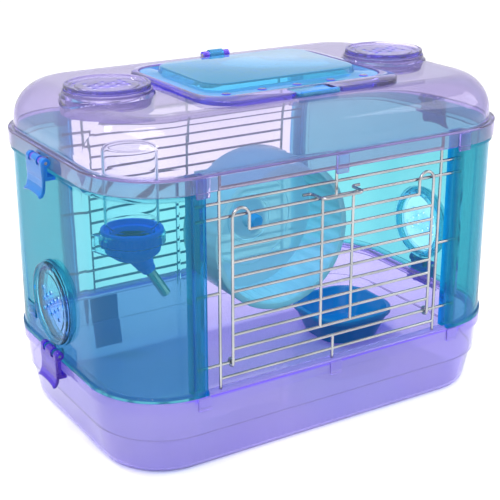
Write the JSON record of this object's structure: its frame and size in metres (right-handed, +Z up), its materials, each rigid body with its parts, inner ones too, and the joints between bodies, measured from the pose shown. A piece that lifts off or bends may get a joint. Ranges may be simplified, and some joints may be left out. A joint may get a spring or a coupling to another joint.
{
  "type": "hamster cage",
  "caption": "Small-pet cage: clear moulded tray, two coloured end shells, wire fronts with a drop-down door, domed roof with a hatch, exercise wheel, bottle and bowl.",
  "frame": {"origin": "centre of the tray's flat base, on the surface that the cage stands on", "axes": "+Z up, +X towards the right end, +Y towards the back; the wire door is on the -Y side"},
  "size_m": [0.3614, 0.2299, 0.2585],
  "materials": {
    "purple_plastic": "clear tinted purple, glossy",
    "teal_plastic": "clear tinted teal, glossy",
    "wheel_plastic": "clear tinted light blue, glossy",
    "deep_blue_plastic": "dark blue, half clear, glossy",
    "clear_plastic": "water clear, glossy",
    "wire": "bright plated wire",
    "rubber": "matt"
  },
  "bodies": {
    "cage": {"tray": "purple_plastic", "left_end_shell": "teal_plastic", "right_end_shell": "teal_plastic", "front_grille": "wire", "back_grille": "wire", "roof": "purple_plastic", "hatch_pin": "wire", "clip_pins": "wire", "wheel_axle": "wire", "wheel_keeper": "deep_blue_plastic", "wheel_bracket": "wheel_plastic", "bottle_holder": "teal_plastic"},
    "hatch": {"hatch_flap": "teal_plastic"},
    "door": {"door_frame": "wire", "door_latch": "wire"},
    "left_port": {"left_port_cap": "teal_plastic"},
    "right_port": {"right_port_cap": "teal_plastic"},
    "left_vent": {"left_roof_vent": "purple_plastic"},
    "right_vent": {"right_roof_vent": "purple_plastic"},
    "left_roof_catch": {"left_roof_clip": "teal_plastic"},
    "right_roof_catch": {"right_roof_clip": "teal_plastic"},
    "left_tray_catch": {"left_tray_clip": "purple_plastic"},
    "right_tray_catch": {"right_tray_clip": "purple_plastic"},
    "wheel": {"wheel_drum": "wheel_plastic"},
    "bottle": {"bottle_body": "clear_plastic", "bottle_cap": "deep_blue_plastic", "bottle_seal": "rubber", "drip_tube": "wire", "drip_ball": "wire"},
    "bowl": {"food_bowl": "deep_blue_plastic"}
  },
  "joints": [
    {"name": "hatch_hinge", "type": "hinge", "parent": "cage", "child": "hatch", "pos_m": [0, 0.058, 0.2545], "axis": [-1, 0, 0], "range_deg": [0, 110]},
    {"name": "door_hinge", "type": "hinge", "parent": "cage", "child": "door", "pos_m": [0, -0.10565, 0.0783], "axis": [1, 0, 0], "range_deg": [0, 115]},
    {"name": "left_roof_clip_hinge", "type": "hinge", "parent": "cage", "child": "left_roof_catch", "pos_m": [-0.1738, 0, 0.21], "axis": [0, 1, 0], "range_deg": [0, 90]},
    {"name": "right_roof_clip_hinge", "type": "hinge", "parent": "cage", "child": "right_roof_catch", "pos_m": [0.1738, 0, 0.21], "axis": [0, -1, 0], "range_deg": [0, 90]},
    {"name": "left_tray_clip_hinge", "type": "hinge", "parent": "cage", "child": "left_tray_catch", "pos_m": [-0.1723, 0, 0.067], "axis": [0, 1, 0], "range_deg": [0, 90]},
    {"name": "right_tray_clip_hinge", "type": "hinge", "parent": "cage", "child": "right_tray_catch", "pos_m": [0.1723, 0, 0.067], "axis": [0, -1, 0], "range_deg": [0, 90]},
    {"name": "left_port_pull", "type": "slide", "parent": "cage", "child": "left_port", "axis": [-1, 0, 0], "range_m": [0, 0.018]},
    {"name": "right_port_pull", "type": "slide", "parent": "cage", "child": "right_port", "axis": [1, 0, 0], "range_m": [0, 0.018]},
    {"name": "left_vent_pull", "type": "slide", "parent": "cage", "child": "left_vent", "axis": [0, 0, 1], "range_m": [0, 0.018]},
    {"name": "right_vent_pull", "type": "slide", "parent": "cage", "child": "right_vent", "axis": [0, 0, 1], "range_m": [0, 0.018]},
    {"name": "wheel_spin", "type": "hinge", "parent": "cage", "child": "wheel", "pos_m": [0.027, 0.02625, 0.117], "axis": [0, 1, 0], "continuous": true},
    {"name": "bottle_lift", "type": "slide", "parent": "cage", "child": "bottle", "axis": [0, 0, 1], "range_m": [0, 0.008]},
    {"name": "bowl_lift", "type": "slide", "parent": "cage", "child": "bowl", "axis": [0, 0, 1], "range_m": [0, 0.04]}
  ]
}
